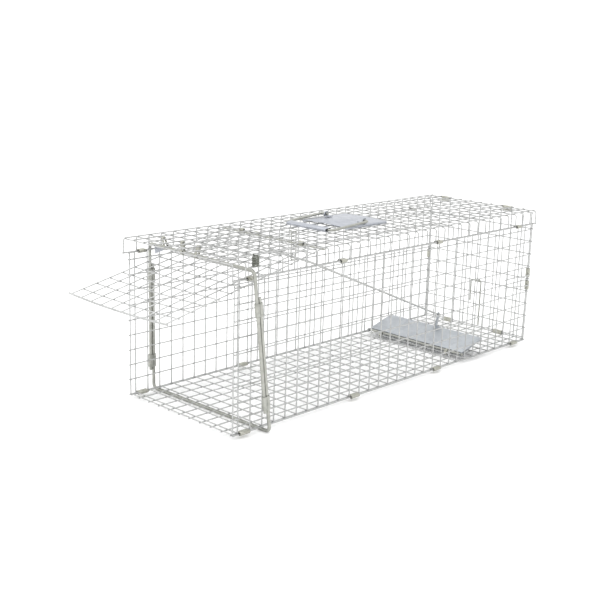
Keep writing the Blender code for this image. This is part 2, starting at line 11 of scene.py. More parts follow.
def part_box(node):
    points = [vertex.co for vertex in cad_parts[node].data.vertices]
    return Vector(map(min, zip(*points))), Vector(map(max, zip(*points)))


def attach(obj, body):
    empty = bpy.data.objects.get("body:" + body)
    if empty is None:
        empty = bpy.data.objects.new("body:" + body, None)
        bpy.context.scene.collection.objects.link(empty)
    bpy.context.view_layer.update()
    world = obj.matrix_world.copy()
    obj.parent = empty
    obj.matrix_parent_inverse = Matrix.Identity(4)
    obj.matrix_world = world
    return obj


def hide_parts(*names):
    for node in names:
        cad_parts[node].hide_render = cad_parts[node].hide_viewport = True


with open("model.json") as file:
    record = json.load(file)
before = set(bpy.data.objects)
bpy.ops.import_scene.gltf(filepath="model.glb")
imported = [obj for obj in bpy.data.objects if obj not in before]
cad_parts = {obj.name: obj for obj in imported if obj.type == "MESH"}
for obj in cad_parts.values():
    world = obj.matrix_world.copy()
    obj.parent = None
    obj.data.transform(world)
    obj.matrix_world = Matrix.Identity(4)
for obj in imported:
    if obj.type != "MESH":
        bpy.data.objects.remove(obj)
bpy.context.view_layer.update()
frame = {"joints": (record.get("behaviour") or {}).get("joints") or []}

MM = 0.001

# ---- sizes, in millimetres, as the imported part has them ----
SQUARE = 25.4
CELLS_LONG = 31
WIRE_RADIUS = 1.1
CAD_HALF_WIRE = 1.2
STEP = 1.7  # from the middle of a long wire to the middle of the wire that crosses it
LENGTH = CELLS_LONG * SQUARE
MOUTH_EDGE = -0.4 * SQUARE
ROOF_Z = 10.4 * SQUARE
SIDE_X = 5 * SQUARE
SIDE_UPRIGHT_X = SIDE_X - STEP
FLOOR_EDGE_X = 122.4
SIDE_TOP_Z = 9.45 * SQUARE
HEM_X = 129.9
HEM_WIRE_X = HEM_X + STEP
HEM_BEND = 4.0
ROOF_EDGE_X = HEM_X - HEM_BEND - CAD_HALF_WIRE
ROOF_WIRE_Z = ROOF_Z + STEP
ROOF_REAR_Y = LENGTH + 2.1
REAR_WIRE_Y = LENGTH + STEP
REAR_LOW_Z = 4.6
REAR_TOP_Z = 260.26
INNER_X = [k * SQUARE for k in range(-4, 5)]

DOOR_OPEN = 12.7
DOOR_LENGTH = 12.7 * SQUARE
DOOR_HALF = 4.5 * SQUARE
DOOR_TIP = DOOR_HALF + 6.0
DOOR_LIFT = 3.0  # the free corners stand this much above the middle of the free edge
PIN_RADIUS = 1.6

HOOP_RADIUS = 2.75
HOOP_LEG_X = 140.6
HOOP_FOOT_Z = -5.0
HOOP_FOOT_Y = {"near": 50.0, "far": 47.0}
HOOP_TOP_Y = {"near": 18.0, "far": 46.0}  # the hoop sits askew: its near leg leans forward
HOOP_BAR_Z = {"near": ROOF_Z - 11.0, "far": ROOF_Z - 17.0}
HOOP_OFFSET = 3.0
HOOP_BEND = 8.0

AXLE_RADIUS = 2.0
EAR_RADIUS = 3.4
TREADLE_TILT = 15.2
TREADLE_HALF = 114.3
TREADLE_FRONT = 4.4
TREADLE_REAR = 70.6
TREADLE_TOP = 2.2
TREADLE_LIP = 6.4
TREADLE_FLANGE = 4.5
TREADLE_FOOT_X = 81.3
SHEET = 1.5
ROD_RADIUS = 2.0

PLATE_HALF = 50.8
PLATE_HALF_LONG = 55.25
PLATE_EDGE_Z = 272.0
PLATE_CROWN_Z = 273.5
BAIL_RADIUS = 2.25
BAIL_ARM = 93.8
BAIL_HALF = 54.5
BAIL_DROP = 6.2
GRIP_LONG = 92.0
GRIP_WIDE = 15.0
GRIP_THICK = 6.4

CLIP_BORE = 2.2
CLIP_WALL = 0.9
WELD_REACH = 3.0  # how far a weld's heat runs along its wire
SLEEVE_LENGTH = 22.0

LUG_X = 45.2
LUG_HALF = 6.0
LUG_FOOT_Z = 273.7
LUG_SHOULDER_Z = 278.0
LUG_CROWN_Z = 276.9
LUG_CROWN_RADIUS = 5.6
FLANGE_Z = 274.4
FLANGE_IN = 34.0
FLANGE_OUT = 45.8

GUIDE_HALF = 5.4
GUIDE_LOW_Z = 216.8
HOOK_TOP_Z = 103.5
GUSSET_OUT = 122.4
GUSSET_MIDDLE = 109.2

# ---- places, in the row frame ----
floor_low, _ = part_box("floor_panel")
DATUM = Matrix.Translation((0, floor_low.y - (MOUTH_EDGE - CAD_HALF_WIRE) * MM,
                            floor_low.z + CAD_HALF_WIRE * MM))
PIVOT = {joint["name"]: Vector(joint["pos_m"]) for joint in frame["joints"]}


def place_at(pivot, turn):
    """Local frame on a joint's axis, turned about the cage's width."""
    return Matrix.Translation(PIVOT[pivot]) @ Matrix.Rotation(radians(turn), 4, "X")


DOOR_PLACE = place_at("door_hinge", DOOR_OPEN)
TREADLE_PLACE = place_at("treadle_pivot", TREADLE_TILT)
ROD_PLACE = place_at("trigger_rod_pivot", 0)
HANDLE_PLACE = place_at("handle_swing", atan2(BAIL_DROP, BAIL_ARM) * 180 / pi)


def in_datum(pivot):
    """(y, z) of a joint's axis in the cage's own millimetres."""
    point = DATUM.inverted() @ PIVOT[pivot]
    return point.y / MM, point.z / MM


HINGE_Y, HINGE_Z = in_datum("door_hinge")
AXLE_Y, AXLE_Z = in_datum("treadle_pivot")
EYE_Y, EYE_Z = in_datum("trigger_rod_pivot")
HANDLE_Y, HANDLE_Z = in_datum("handle_swing")


# ---------------------------------------------------------------- shader node groups
def shader_group(name, inputs, outputs):
    """Empty shader group: each input is (label, kind, value) and each output is (label, kind)."""
    group = bpy.data.node_groups.new(name, "ShaderNodeTree")
    for label, kind, value in inputs:
        socket = group.interface.new_socket(label, in_out="INPUT", socket_type=kind)
        if value is not None:
            socket.default_value = value
    for label, kind in outputs:
        group.interface.new_socket(label, in_out="OUTPUT", socket_type=kind)
    return group, group.nodes.new("NodeGroupInput"), group.nodes.new("NodeGroupOutput")


def math_node(nodes, links, operation, first, second=None, clamp=False):
    node = nodes.new("ShaderNodeMath")
    node.operation = operation
    node.use_clamp = clamp
    for socket, value in zip(node.inputs, (first, second)):
        if value is None:
            continue
        if isinstance(value, (int, float)):
            socket.default_value = value
        else:
            links.new(value, socket)
    return node.outputs[0]


def spread_node(nodes, links, value, low, high, to_low, to_high):
    """Map Range from low..high to to_low..to_high, held at its ends."""
    node = nodes.new("ShaderNodeMapRange")
    node.clamp = True
    for label, number in (("From Min", low), ("From Max", high), ("To Min", to_low), ("To Max", to_high)):
        if isinstance(number, (int, float)):
            node.inputs[label].default_value = number
        else:
            links.new(number, node.inputs[label])
    links.new(value, node.inputs["Value"])
    return node.outputs["Result"]


def noise_node(nodes, links, place, scale, detail=3.0, roughness=0.55):
    node = nodes.new("ShaderNodeTexNoise")
    node.inputs["Detail"].default_value = detail
    node.inputs["Roughness"].default_value = roughness
    if isinstance(scale, (int, float)):
        node.inputs["Scale"].default_value = scale
    else:
        links.new(scale, node.inputs["Scale"])
    links.new(place, node.inputs["Vector"])
    return node.outputs["Fac"]


def make_zinc_spangle():
    """Crystal flowers of hot-dip zinc: flat facets of slightly different grey, fine lines between."""
    sockets = [("Place", "NodeSocketVector", None), ("Spangle Size", "NodeSocketFloat", 0.008)]
    group, inside, out = shader_group("zinc_spangle", sockets,
                                      [("Tone", "NodeSocketFloat"), ("Height", "NodeSocketFloat")])
    nodes, links = group.nodes, group.links
    scale = math_node(nodes, links, "DIVIDE", 1.0, inside.outputs["Spangle Size"])
    cells = nodes.new("ShaderNodeTexVoronoi")
    cells.feature = "F1"
    links.new(inside.outputs["Place"], cells.inputs["Vector"])
    links.new(scale, cells.inputs["Scale"])
    split = nodes.new("ShaderNodeSeparateColor")
    links.new(cells.outputs["Color"], split.inputs[0])
    seams = nodes.new("ShaderNodeTexVoronoi")
    seams.feature = "DISTANCE_TO_EDGE"
    links.new(inside.outputs["Place"], seams.inputs["Vector"])
    links.new(scale, seams.inputs["Scale"])
    line = spread_node(nodes, links, seams.outputs["Distance"], 0.0, 0.06, 0.0, 1.0)
    frost = noise_node(nodes, links, inside.outputs["Place"], math_node(nodes, links, "MULTIPLY", scale, 3.2))
    facet = math_node(nodes, links, "MULTIPLY", split.outputs[0], 0.65)
    tone = math_node(nodes, links, "ADD", facet, math_node(nodes, links, "MULTIPLY", frost, 0.35))
    links.new(tone, out.inputs["Tone"])
    links.new(math_node(nodes, links, "MULTIPLY", line, tone), out.inputs["Height"])
    return group


def make_drawn_grain():
    """Fine drawing lines and drag marks of pulled wire and rolled sheet."""
    sockets = [("Place", "NodeSocketVector", None), ("Fineness", "NodeSocketFloat", 900.0),
               ("Stretch", "NodeSocketVector", (1, 1, 1))]
    group, inside, out = shader_group("drawn_grain", sockets,
                                      [("Streak", "NodeSocketFloat"), ("Height", "NodeSocketFloat")])
    nodes, links = group.nodes, group.links
    squeeze = nodes.new("ShaderNodeVectorMath")
    squeeze.operation = "MULTIPLY"
    links.new(inside.outputs["Place"], squeeze.inputs[0])
    links.new(inside.outputs["Stretch"], squeeze.inputs[1])
    fine = noise_node(nodes, links, squeeze.outputs[0], inside.outputs["Fineness"], 2.0)
    coarse = noise_node(nodes, links, squeeze.outputs[0],
                        math_node(nodes, links, "MULTIPLY", inside.outputs["Fineness"], 0.22))
    streak = math_node(nodes, links, "MULTIPLY", math_node(nodes, links, "ADD", fine, coarse), 0.5)
    links.new(streak, out.inputs["Streak"])
    links.new(fine, out.inputs["Height"])
    return group


def make_dull_patches():
    """Clouds of dull grey oxide where the zinc has weathered, and a brighter, rubbed line along edges."""
    sockets = [
        ("Place", "NodeSocketVector", None),
        ("Edge", "NodeSocketFloat", 0.5),
        ("Patch Size", "NodeSocketFloat", 0.05),
        ("Cover", "NodeSocketFloat", 0.5),
    ]
    group, inside, out = shader_group("dull_patches", sockets,
                                      [("Dull", "NodeSocketFloat"), ("Rubbed", "NodeSocketFloat")])
    nodes, links = group.nodes, group.links
    scale = math_node(nodes, links, "DIVIDE", 1.0, inside.outputs["Patch Size"])
    cloud = noise_node(nodes, links, inside.outputs["Place"], scale, 5.0, 0.62)
    start = math_node(nodes, links, "SUBTRACT", 0.78,
                      math_node(nodes, links, "MULTIPLY", inside.outputs["Cover"], 0.4))
    dull = spread_node(nodes, links, cloud, start, 0.82, 0.0, 1.0)
    speck = noise_node(nodes, links, inside.outputs["Place"],
                       math_node(nodes, links, "MULTIPLY", scale, 14.0), 2.0)
    edge = spread_node(nodes, links, inside.outputs["Edge"], 0.52, 0.62, 0.0, 1.0)
    links.new(dull, out.inputs["Dull"])
    links.new(math_node(nodes, links, "MULTIPLY", edge, speck), out.inputs["Rubbed"])
    return group


ZINC_SPANGLE = make_zinc_spangle()
DRAWN_GRAIN = make_drawn_grain()
DULL_PATCHES = make_dull_patches()


def zinc_finish(name, bright, deep, rough, spangle, grain, patches, metallic=1.0, bump=0.15, weld_heat_and_painted_shade=0.0):
    """Zinc over steel. bright and deep are the two ends of its grey, rough its smoothest and dullest
    roughness, spangle the crystal size in metres, grain (fineness, stretch), patches (size, cover), and
    weld_heat_and_painted_shade how far the mesh's "weld" mark darkens it: heat tint at a weld, and painted
    shade on the treadle's front lip."""
    made = bpy.data.materials.new(name)
    made.use_nodes = True
    nodes, links = made.node_tree.nodes, made.node_tree.links
    shader = nodes["Principled BSDF"]
    place = nodes.new("ShaderNodeTexCoord").outputs["Object"]
    shape = nodes.new("ShaderNodeNewGeometry")

    def placed(group, **values):
        node = nodes.new("ShaderNodeGroup")
        node.node_tree = group
        links.new(place, node.inputs["Place"])
        for label, value in values.items():
            node.inputs[label.replace("_", " ")].default_value = value
        return node

    flowers = placed(ZINC_SPANGLE, Spangle_Size=spangle)
    drawn = placed(DRAWN_GRAIN, Fineness=grain[0], Stretch=grain[1])
    worn = placed(DULL_PATCHES, Patch_Size=patches[0], Cover=patches[1])
    links.new(shape.outputs["Pointiness"], worn.inputs["Edge"])

    def blend(fac, first, second):
        node = nodes.new("ShaderNodeMix")
        node.data_type = "RGBA"
        links.new(fac, node.inputs["Factor"])
        for socket, value in ((node.inputs[6], first), (node.inputs[7], second)):
            if isinstance(value, tuple):
                socket.default_value = (*value, 1)
            else:
                links.new(value, socket)
        return node.outputs[2]

    streaked = math_node(nodes, links, "ADD",
                         math_node(nodes, links, "MULTIPLY", flowers.outputs["Tone"], 0.6),
                         math_node(nodes, links, "MULTIPLY", drawn.outputs["Streak"], 0.4))
    colour = blend(streaked, deep, bright)
    dull = tuple(0.55 * a + 0.45 * b for a, b in zip(deep, bright))
    colour = blend(math_node(nodes, links, "MULTIPLY", worn.outputs["Dull"], 0.7), colour,
                   tuple(0.93 * c for c in dull))
    colour = blend(math_node(nodes, links, "MULTIPLY", worn.outputs["Rubbed"], 0.5), colour,
                   tuple(min(1.0, 1.12 * c) for c in bright))
    roughness = spread_node(nodes, links, streaked, 0.2, 0.8, rough[1], rough[0])
    roughness = math_node(nodes, links, "ADD", roughness,
                          math_node(nodes, links, "MULTIPLY", worn.outputs["Dull"], 0.16), clamp=True)
    # Darkening by the "weld" mark: heat tint at the mesh's welds, painted shade on the treadle's front lip.
    if weld_heat_and_painted_shade:
        weld = nodes.new("ShaderNodeAttribute")
        weld.attribute_name = "weld"
        weld_heat_and_painted_shade_mix = math_node(nodes, links, "MULTIPLY", weld.outputs["Fac"], weld_heat_and_painted_shade)
        colour = blend(weld_heat_and_painted_shade_mix, colour, tuple(0.55 * c for c in deep))
        roughness = math_node(nodes, links, "ADD", roughness,
                              math_node(nodes, links, "MULTIPLY", weld_heat_and_painted_shade_mix, 0.3), clamp=True)
    links.new(colour, shader.inputs["Base Color"])
    links.new(roughness, shader.inputs["Roughness"])
    shader.inputs["Metallic"].default_value = metallic
    raised = nodes.new("ShaderNodeBump")
    raised.inputs["Strength"].default_value = bump
    raised.inputs["Distance"].default_value = 0.0004
    height = math_node(nodes, links, "ADD",
                       math_node(nodes, links, "MULTIPLY", flowers.outputs["Height"],
                                 0.5), drawn.outputs["Height"])
    links.new(height, raised.inputs["Height"])
    links.new(raised.outputs["Normal"], shader.inputs["Normal"])
    return made


EVEN = (1.0, 1.0, 1.0)
MESH_WIRE = zinc_finish("hot_dip_mesh_wire", (0.56, 0.565, 0.56), (0.36, 0.365, 0.36), (0.34, 0.56), 0.004,
                        (700.0, EVEN), (0.06, 0.45), weld_heat_and_painted_shade=0.18)
ROUND_BAR = zinc_finish("zinc_plated_round_bar", (0.46, 0.465, 0.43), (0.30, 0.305, 0.28), (0.32, 0.52),
                        0.006, (800.0, (1, 1, 0.08)), (0.05, 0.4))
ROD_STEEL = zinc_finish("bright_trigger_rod", (0.60, 0.605, 0.59), (0.42, 0.425, 0.415), (0.26, 0.42), 0.005,
                        (900.0, (1, 0.1, 1)), (0.08, 0.3))
# Its weld_heat_and_painted_shade of 0.75 darkens the treadle's front lip: painted shade where the lip faces
# down and forward.
TREADLE_SHEET = zinc_finish("galvanised_treadle_sheet", (0.50, 0.525, 0.55), (0.38, 0.40, 0.425),
                            (0.36, 0.54), 0.011, (500.0, (0.08, 1, 1)), (0.07, 0.4), weld_heat_and_painted_shade=0.75)
HANDLE_SHEET = zinc_finish("galvanised_handle_sheet", (0.46, 0.48, 0.52), (0.35, 0.365, 0.40), (0.34, 0.52),
                           0.010, (520.0, (1, 0.08, 1)), (0.06, 0.45))
CLIP_STEEL = zinc_finish("crimped_clip_steel", (0.50, 0.50, 0.45), (0.30, 0.30, 0.26), (0.36, 0.6), 0.003,
                         (1100.0, EVEN), (0.012, 0.6))
SLEEVE_STEEL = zinc_finish("hoop_sleeve_steel", (0.45, 0.455, 0.42), (0.29, 0.295, 0.27), (0.34, 0.56),
                           0.005, (900.0, (1, 1, 0.1)), (0.02, 0.5))
SPRING_STEEL = zinc_finish("dark_spring_steel", (0.24, 0.25, 0.22), (0.11, 0.115, 0.10), (0.28, 0.5), 0.002,
                           (1300.0, EVEN), (0.02, 0.5))


# ---------------------------------------------------------------- geometry node trees
def geometry_tree(name, inputs):
    """Tree that takes a mesh of lines, with its named inputs, and the nodes at its two ends."""
    tree = bpy.data.node_groups.new(name, "GeometryNodeTree")
    tree.interface.new_socket("Lines", in_out="INPUT", socket_type="NodeSocketGeometry")
    for label, kind, value in inputs:
        socket = tree.interface.new_socket(label, in_out="INPUT", socket_type=kind)
        if value is not None:
            socket.default_value = value
    tree.interface.new_socket("Finish", in_out="INPUT", socket_type="NodeSocketMaterial")
    tree.interface.new_socket("Solid", in_out="OUTPUT", socket_type="NodeSocketGeometry")
    return tree, tree.nodes.new("NodeGroupInput"), tree.nodes.new("NodeGroupOutput")


def step(tree, kind, settings=None, **inputs):
    """Adds one node: settings are its own options, and each input is a value or another node's output."""
    node = tree.nodes.new(kind)
    for option, value in (settings or {}).items():
        setattr(node, option, value)
    for label, value in inputs.items():
        socket = node.inputs[int(label[1:])] if label[1:].isdigit() else node.inputs[label.replace("_", " ")]
        if isinstance(value, bpy.types.NodeSocket):
            tree.links.new(value, socket)
        else:
            socket.default_value = value
    return node


def close_tree(tree, solid, inside, out):
    """Ends a tree: instances made real, and the finish laid on."""
    real = step(tree, "GeometryNodeRealizeInstances", Geometry=solid)
    painted = step(tree, "GeometryNodeSetMaterial", Geometry=real.outputs[0],
                   Material=inside.outputs["Finish"])
    tree.links.new(painted.outputs[0], out.inputs["Solid"])


def make_welded_sheet_tree():
    """Welded mesh: a round wire along every line, never quite straight, and a bead at every weld."""
    tree, inside, out = geometry_tree("welded_wire_sheet", [
        ("Wire Radius", "NodeSocketFloat", WIRE_RADIUS * MM),
        ("Wander", "NodeSocketFloat", 0.0003),
        ("Bead Size", "NodeSocketFloat", 0.0014),
        ("Sides", "NodeSocketInt", 8),
        ("Seed", "NodeSocketInt", 0),
    ])
    here = step(tree, "GeometryNodeInputPosition")
    drift = step(tree, "ShaderNodeTexNoise", {"noise_dimensions": "4D"}, Vector=here.outputs[0], Scale=14.0,
                 Detail=1.0, W=inside.outputs["Seed"])
    centred = step(tree, "ShaderNodeVectorMath", {"operation": "SUBTRACT"}, _0=drift.outputs["Color"],
                   _1=(0.5, 0.5, 0.5))
    away = step(tree, "ShaderNodeVectorMath", {"operation": "SCALE"}, _0=centred.outputs[0],
                Scale=inside.outputs["Wander"])
    moved = step(tree, "GeometryNodeSetPosition", Geometry=inside.outputs["Lines"], Offset=away.outputs[0])
    lines = step(tree, "GeometryNodeMeshToCurve", Mesh=moved.outputs[0])
    section = step(tree, "GeometryNodeCurvePrimitiveCircle", Resolution=inside.outputs["Sides"],
                   Radius=inside.outputs["Wire Radius"])
    wires = step(tree, "GeometryNodeCurveToMesh", Curve=lines.outputs[0], Profile_Curve=section.outputs[0],
                 Fill_Caps=True)
    smooth = step(tree, "GeometryNodeSetShadeSmooth", Geometry=wires.outputs[0])
    bead_mark = step(tree, "GeometryNodeInputNamedAttribute", {"data_type": "FLOAT"}, Name="bead")
    chosen = step(tree, "FunctionNodeCompare", {"data_type": "FLOAT", "operation": "GREATER_THAN"},
                  A=bead_mark.outputs[0], B=0.5)
    spots = step(tree, "GeometryNodeMeshToPoints", Mesh=moved.outputs[0], Selection=chosen.outputs[0])
    bead = step(tree, "GeometryNodeMeshIcoSphere", Radius=inside.outputs["Bead Size"], Subdivisions=1)
    round_bead = step(tree, "GeometryNodeSetShadeSmooth", Geometry=bead.outputs[0])
    turn = step(tree, "FunctionNodeRandomValue", {"data_type": "FLOAT_VECTOR"}, _0=(0.0, 0.0, 0.0),
                _1=(6.28, 6.28, 6.28), Seed=inside.outputs["Seed"])
    swell = step(tree, "FunctionNodeRandomValue", {"data_type": "FLOAT"}, _2=0.85, _3=1.12,
                 Seed=inside.outputs["Seed"])
    beads = step(tree, "GeometryNodeInstanceOnPoints", Points=spots.outputs[0],
                 Instance=round_bead.outputs[0], Rotation=turn.outputs[0], Scale=swell.outputs[1])
    both = step(tree, "GeometryNodeJoinGeometry", _0=smooth.outputs[0])
    tree.links.new(beads.outputs[0], both.inputs[0])
    close_tree(tree, both.outputs[0], inside, out)
    return tree


def make_round_bar_tree():
    """Round bar along a line, its corners turned on one bend radius."""
    tree, inside, out = geometry_tree("bent_round_bar", [
        ("Bar Radius", "NodeSocketFloat", 0.002),
        ("Bend Radius", "NodeSocketFloat", 0.0),
        ("Bend Steps", "NodeSocketInt", 8),
        ("Sides", "NodeSocketInt", 20),
    ])
    line = step(tree, "GeometryNodeMeshToCurve", Mesh=inside.outputs["Lines"])
    bent = step(tree, "GeometryNodeFilletCurve", {"mode": "POLY"}, Curve=line.outputs[0],
                Count=inside.outputs["Bend Steps"],
                Radius=inside.outputs["Bend Radius"], Limit_Radius=True)
    section = step(tree, "GeometryNodeCurvePrimitiveCircle", Resolution=inside.outputs["Sides"],
                   Radius=inside.outputs["Bar Radius"])
    bar = step(tree, "GeometryNodeCurveToMesh", Curve=bent.outputs[0], Profile_Curve=section.outputs[0],
               Fill_Caps=True)
    smooth = step(tree, "GeometryNodeSetShadeSmooth", Geometry=bar.outputs[0])
    close_tree(tree, smooth.outputs[0], inside, out)
    return tree


def make_strap_tree():
    """Flat strap bent along a line that lies in its own x-y plane: Strap Width runs along z."""
    tree, inside, out = geometry_tree("crimped_strap", [
        ("Strap Width", "NodeSocketFloat", 0.01),
        ("Wall", "NodeSocketFloat", CLIP_WALL * MM),
        ("Edge Radius", "NodeSocketFloat", 0.0003),
        ("Bend Radius", "NodeSocketFloat", 0.0),
    ])
    line = step(tree, "GeometryNodeMeshToCurve", Mesh=inside.outputs["Lines"])
    bent = step(tree, "GeometryNodeFilletCurve", {"mode": "POLY"}, Curve=line.outputs[0], Count=6,
                Radius=inside.outputs["Bend Radius"], Limit_Radius=True)
    upright = step(tree, "GeometryNodeSetCurveNormal", {"mode": "Z_UP"}, Curve=bent.outputs[0])
    section = step(tree, "GeometryNodeCurvePrimitiveQuadrilateral", Width=inside.outputs["Wall"],
                   Height=inside.outputs["Strap Width"])
    eased = step(tree, "GeometryNodeFilletCurve", {"mode": "POLY"}, Curve=section.outputs[0], Count=2,
                 Radius=inside.outputs["Edge Radius"], Limit_Radius=True)
    strap = step(tree, "GeometryNodeCurveToMesh", Curve=upright.outputs[0], Profile_Curve=eased.outputs[0],
                 Fill_Caps=True)
    close_tree(tree, strap.outputs[0], inside, out)
    return tree


WELDED_SHEET = make_welded_sheet_tree()
BENT_BAR = make_round_bar_tree()
CRIMPED_STRAP = make_strap_tree()


def socket_id(tree, label):
    return next(s.identifier for s in tree.interface.items_tree if s.name == label and s.in_out == "INPUT")


def line_mesh(name, lines, beads=()):
    """Mesh of bare edges, in millimetres. A line's point is (x, y, z) or (x, y, z, weld); a bead is a loose
    point on a weld."""
    places = []
    welds = []
    edges = []
    for line in lines:
        edges += [(len(places) + k, len(places) + k + 1) for k in range(len(line) - 1)]
        places += [[value * MM for value in point[:3]] for point in line]
        welds += [point[3] if len(point) > 3 else 0.0 for point in line]
    marks = [0.0] * len(places) + [1.0] * len(beads)
    places += [[value * MM for value in point] for point in beads]
    welds += [1.0] * len(beads)
    mesh = bpy.data.meshes.new(name)
    mesh.from_pydata(places, edges, [])
    mesh.attributes.new("weld", "FLOAT", "POINT").data.foreach_set("value", welds)
    mesh.attributes.new("bead", "FLOAT", "POINT").data.foreach_set("value", marks)
    return mesh


def keep(name, mesh, place, body, slot, *nodes):
    """Finished piece at the world's origin, its place in its mesh, riding on its body in its nodes' stead."""
    mesh.transform(place)
    mesh.name = name
    piece = bpy.data.objects.new(name, mesh)
    bpy.context.scene.collection.objects.link(piece)
    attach(piece, body)
    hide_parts(*nodes)
    return piece


def grown(mesh, tree, finish, **sizes):
    """Plain mesh that a tree makes from a mesh of lines."""
    carrier = bpy.data.objects.new(mesh.name + "_lines", mesh)
    bpy.context.scene.collection.objects.link(carrier)
    modifier = carrier.modifiers.new("growth", "NODES")
    modifier.node_group = tree
    modifier[socket_id(tree, "Finish")] = finish
    for label, value in sizes.items():
        modifier[socket_id(tree, label.replace("_", " "))] = value
    bpy.context.view_layer.update()
    graph = bpy.context.evaluated_depsgraph_get()
    solid = bpy.data.meshes.new_from_object(carrier.evaluated_get(graph))
    bpy.data.objects.remove(carrier, do_unlink=True)
    return solid


# ---------------------------------------------------------------- welded mesh
def stations(welds, start, end):
    """Points along a wire: its ends, each weld and a point to either side, and the middle of each square."""
    found = {start: 0.0, end: 0.0}
    ordered = sorted(welds)
    for at in ordered:
        for near, weld in ((at - WELD_REACH, 0.0), (at, 1.0), (at + WELD_REACH, 0.0)):
            if start < near < end:
                found[near] = max(weld, found.get(near, 0.0))
    for low, high in zip(ordered, ordered[1:]):
        if high - low > 12.0:
            found[(low + high) / 2] = 0.0
    return sorted(found.items())


def flat_lattice(long_at, cross_at, long_span, cross_span, level, lay):
    """Wires and welds of one flat sheet. lay(along, across, level) puts a point of the sheet in its place."""
    lines = [[(*lay(u, v, 0.0), weld) for u, weld in stations(cross_at, *long_span)] for v in long_at]
    lines += [[(*lay(u, v, level), weld) for v, weld in stations(long_at, *cross_span)] for u in cross_at]
    beads = [lay(u, v, level / 2) for u in cross_at for v in long_at]
    return lines, beads


def welded_sheet(name, lattice, place, body, seed, *nodes):
    mesh = line_mesh(name, *lattice)
    solid = grown(mesh, WELDED_SHEET, MESH_WIRE, Seed=seed)
    return keep(name, solid, place, body, "galvanised_mesh_wire", *nodes)


CUT_END = 1.9  # how far a cut wire stands past the last wire that crosses it
LENGTH_SPAN = (MOUTH_EDGE - CUT_END, LENGTH + CUT_END)
CROSS_AT = [MOUTH_EDGE] + [k * SQUARE for k in range(CELLS_LONG + 1)]

floor_at = [-FLOOR_EDGE_X, *INNER_X, FLOOR_EDGE_X]
edge_span = (-FLOOR_EDGE_X - CAD_HALF_WIRE, FLOOR_EDGE_X + CAD_HALF_WIRE)
floor = flat_lattice(floor_at, CROSS_AT, LENGTH_SPAN, edge_span, STEP, lambda u, v, w: (v, u, w))
welded_sheet("floor_mesh", floor, DATUM, "base", 1, "floor_panel")

side_rows = [k * SQUARE for k in range(10)] + [SIDE_TOP_Z]
for side, sign, seed in (("near", 1, 2), ("far", -1, 3)):
    lattice = flat_lattice(side_rows, CROSS_AT, LENGTH_SPAN, (-CAD_HALF_WIRE, SIDE_TOP_Z + CAD_HALF_WIRE),
                           STEP,
                           lambda u, v, w, sign=sign: (sign * (SIDE_X - w), u, v))
    welded_sheet(f"side_mesh_{side}", lattice, DATUM, "base", seed, f"side_panel_{side}")

rear_rows = [REAR_LOW_Z] + [k * SQUARE for k in range(1, 10)] + [REAR_TOP_Z]
rear = flat_lattice(floor_at, rear_rows, (REAR_LOW_Z - CAD_HALF_WIRE, REAR_TOP_Z + CAD_HALF_WIRE), edge_span,
                    STEP,
                    lambda u, v, w: (v, LENGTH + w, u))
welded_sheet("rear_mesh", rear, DATUM, "base", 4, "rear_panel")


def roof_lattice():
    """Roof sheet: its cross wires turn down over both sides, where one more long wire closes each hem."""
    cross_at = [(k - 0.7) * SQUARE for k in range(CELLS_LONG + 1)] + [ROOF_REAR_Y]
    long_at = [-ROOF_EDGE_X, *INNER_X, ROOF_EDGE_X]
    span = (cross_at[0] - CUT_END, ROOF_REAR_Y + CAD_HALF_WIRE)
    lines = [[(x, y, ROOF_WIRE_Z, weld) for y, weld in stations(cross_at, *span)] for x in long_at]
    lines += [[(x, y, SIDE_TOP_Z, weld) for y, weld in stations(cross_at, *span)]
              for x in (-HEM_WIRE_X, HEM_WIRE_X)]
    flat = HEM_X - HEM_BEND
    bend = [(flat + HEM_BEND * cos(a), ROOF_Z - HEM_BEND + HEM_BEND * sin(a))
            for a in [pi / 2 * k / 6 for k in range(7)]]
    half = [(HEM_X, SIDE_TOP_Z - CAD_HALF_WIRE, 0), (HEM_X, SIDE_TOP_Z, 1),
            (HEM_X, SIDE_TOP_Z + WELD_REACH, 0)]
    half += [(x, z, 0) for x, z in bend]
    for y in cross_at:
        across = [(x, ROOF_Z, weld) for x, weld in stations(long_at, -flat + 0.4, flat - 0.4)]
        bow = [(-x, z, weld) for x, z, weld in half] + across + half[::-1]
        lines.append([(x, y, z, weld) for x, z, weld in bow])
    beads = [(x, y, ROOF_Z + STEP / 2) for x in long_at for y in cross_at]
    beads += [(sign * (HEM_X + STEP / 2), y, SIDE_TOP_Z) for sign in (-1, 1) for y in cross_at]
    return lines, beads


welded_sheet("roof_mesh", roof_lattice(), DATUM, "base", 5, "roof_panel")


def door_lift(x, y):
    """Spring in the door: its free corners stand a little above the middle of its free edge."""
    return DOOR_LIFT * (x / DOOR_HALF) ** 2 * (-y / DOOR_LENGTH) ** 2


door_long = [(k - 4.5) * SQUARE for k in range(10)]
door_cross = [-(k + 0.7) * SQUARE for k in range(12)]
door = flat_lattice(door_long, door_cross, (-DOOR_LENGTH + CAD_HALF_WIRE, -CAD_HALF_WIRE),
                    (-DOOR_HALF - CAD_HALF_WIRE, DOOR_HALF + CAD_HALF_WIRE), -STEP,
                    lambda u, v, w: (v, u, w + door_lift(v, u)))
welded_sheet("door_mesh", door, DOOR_PLACE, "door", 6, "door_panel")


# ---------------------------------------------------------------- round bar
def round_bar(name, points, radius, place, body, finish, bend=0.0, sides=20, slot="galvanised_round_bar",
              nodes=None):
    mesh = line_mesh(name, [points])
    solid = grown(mesh, BENT_BAR, finish, Bar_Radius=radius * MM, Bend_Radius=bend * MM, Sides=sides)
    return keep(name, solid, place, body, slot, *(nodes or [name]))


